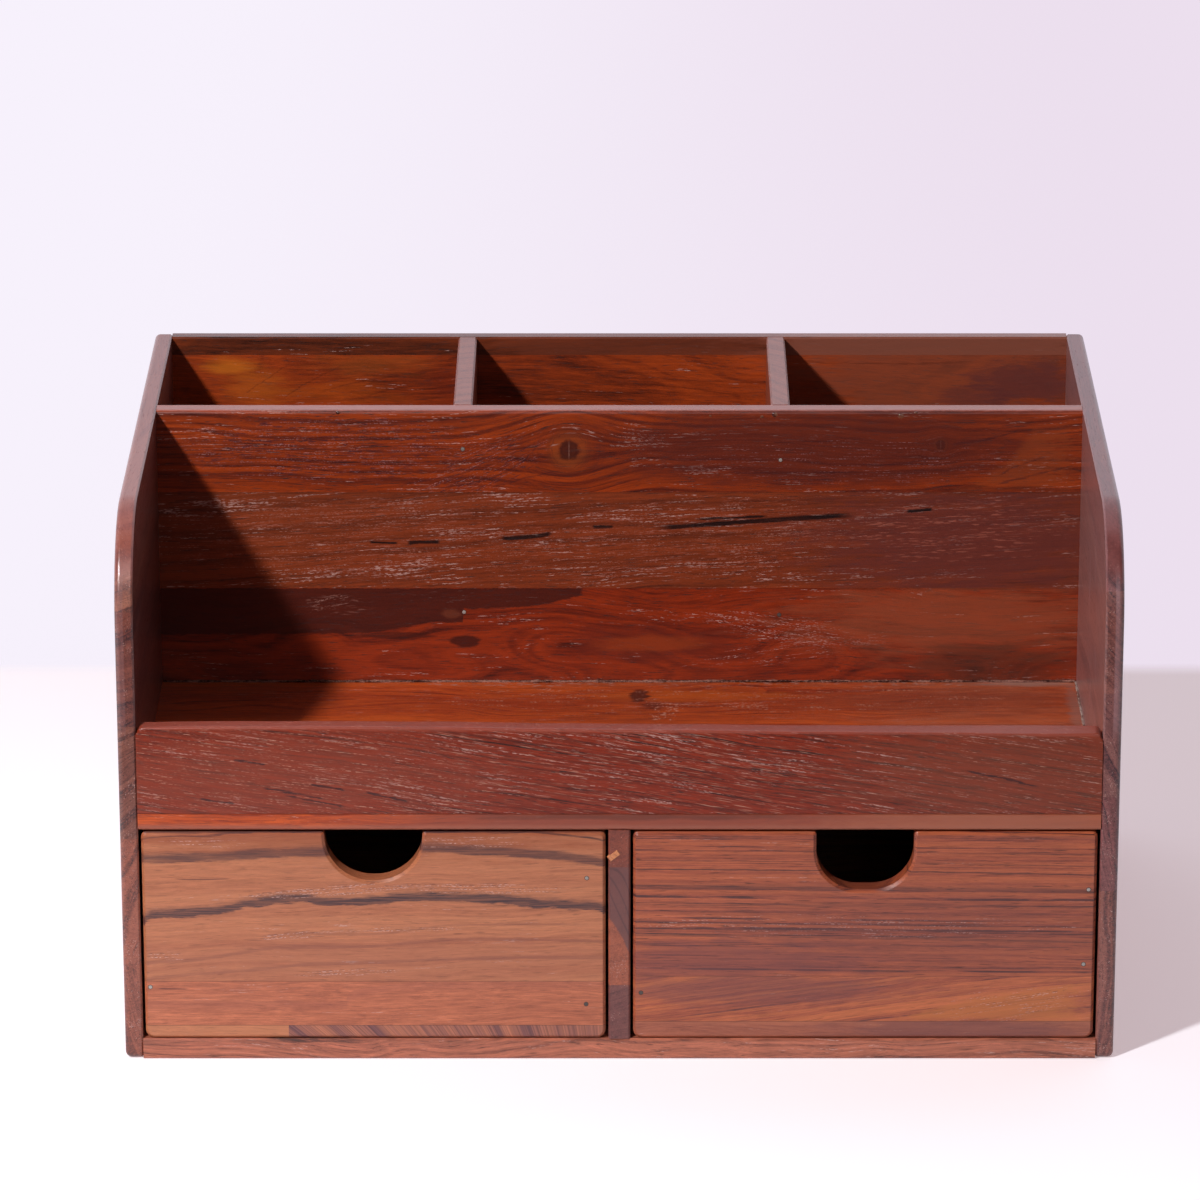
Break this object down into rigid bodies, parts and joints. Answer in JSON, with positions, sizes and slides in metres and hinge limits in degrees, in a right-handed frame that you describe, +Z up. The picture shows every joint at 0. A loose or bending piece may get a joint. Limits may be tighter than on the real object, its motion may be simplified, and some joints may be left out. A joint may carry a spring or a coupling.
{
  "type": "desktop drawer organizer",
  "caption": "Wooden desk organizer with an open tray behind a low lip, divided rear compartments, rounded side panels and sliding drawers with finger notches below.",
  "frame": {"origin": "middle of the underside, on the surface that it stands on", "axes": "+X to the right along the width, the drawers' fronts face -Y, +Z up"},
  "size_m": [0.381, 0.254, 0.216],
  "materials": {
    "side_panel_wood": "clear lacquer, satin gloss",
    "centre_post_wood": "clear lacquer, satin gloss",
    "tray_wall_wood": "clear lacquer, satin gloss",
    "lip_wood": "clear lacquer, satin gloss",
    "partition_wood": "clear lacquer, satin gloss",
    "back_panel_wood": "clear lacquer, satin gloss",
    "shelf_wood": "clear lacquer, satin gloss",
    "left_drawer_front_wood": "clear lacquer, satin gloss",
    "right_drawer_front_wood": "clear lacquer, satin gloss",
    "drawer_box_wood": "clear lacquer, satin gloss",
    "brads": "dull steel"
  },
  "bodies": {
    "case": {"back_panel_brads": "brads", "back_panel_strip_1": "back_panel_wood", "back_panel_strip_2": "back_panel_wood", "back_panel_strip_3": "back_panel_wood", "back_panel_strip_4": "back_panel_wood", "back_panel_strip_5": "back_panel_wood", "back_panel_strip_6": "back_panel_wood", "bottom_board": "shelf_wood", "bottom_board_brads": "brads", "centre_post_strip_1": "centre_post_wood", "centre_post_strip_2": "centre_post_wood", "centre_post_strip_3": "centre_post_wood", "left_partition_strip_1": "partition_wood", "left_partition_strip_2": "partition_wood", "left_side_brads": "brads", "left_side_strip_1": "side_panel_wood", "left_side_strip_2": "side_panel_wood", "left_side_strip_3": "side_panel_wood", "left_side_strip_4": "side_panel_wood", "left_side_strip_5": "side_panel_wood", "right_partition_strip_1": "partition_wood", "right_partition_strip_2": "partition_wood", "right_side_brads": "brads", "right_side_strip_1": "side_panel_wood", "right_side_strip_2": "side_panel_wood", "right_side_strip_3": "side_panel_wood", "right_side_strip_4": "side_panel_wood", "right_side_strip_5": "side_panel_wood", "shelf_board": "shelf_wood", "tray_back_wall_strip_1": "tray_wall_wood", "tray_back_wall_strip_2": "tray_wall_wood", "tray_back_wall_strip_3": "tray_wall_wood", "tray_front_lip": "lip_wood", "tray_wall_brads": "brads"},
    "left_drawer": {"left_drawer_back_wall": "drawer_box_wood", "left_drawer_bottom": "drawer_box_wood", "left_drawer_brads": "brads", "left_drawer_front_strip_1": "left_drawer_front_wood", "left_drawer_front_strip_2": "left_drawer_front_wood", "left_drawer_front_strip_3": "left_drawer_front_wood", "left_drawer_left_wall": "drawer_box_wood", "left_drawer_right_wall": "drawer_box_wood"},
    "right_drawer": {"right_drawer_back_wall": "drawer_box_wood", "right_drawer_bottom": "drawer_box_wood", "right_drawer_brads": "brads", "right_drawer_front_strip_1": "right_drawer_front_wood", "right_drawer_front_strip_2": "right_drawer_front_wood", "right_drawer_front_strip_3": "right_drawer_front_wood", "right_drawer_left_wall": "drawer_box_wood", "right_drawer_right_wall": "drawer_box_wood"}
  },
  "joints": [
    {"name": "left_drawer_slide", "type": "slide", "parent": "case", "child": "left_drawer", "axis": [0, -1, 0], "range_m": [0, 0.18]},
    {"name": "right_drawer_slide", "type": "slide", "parent": "case", "child": "right_drawer", "axis": [0, -1, 0], "range_m": [0, 0.18]}
  ]
}
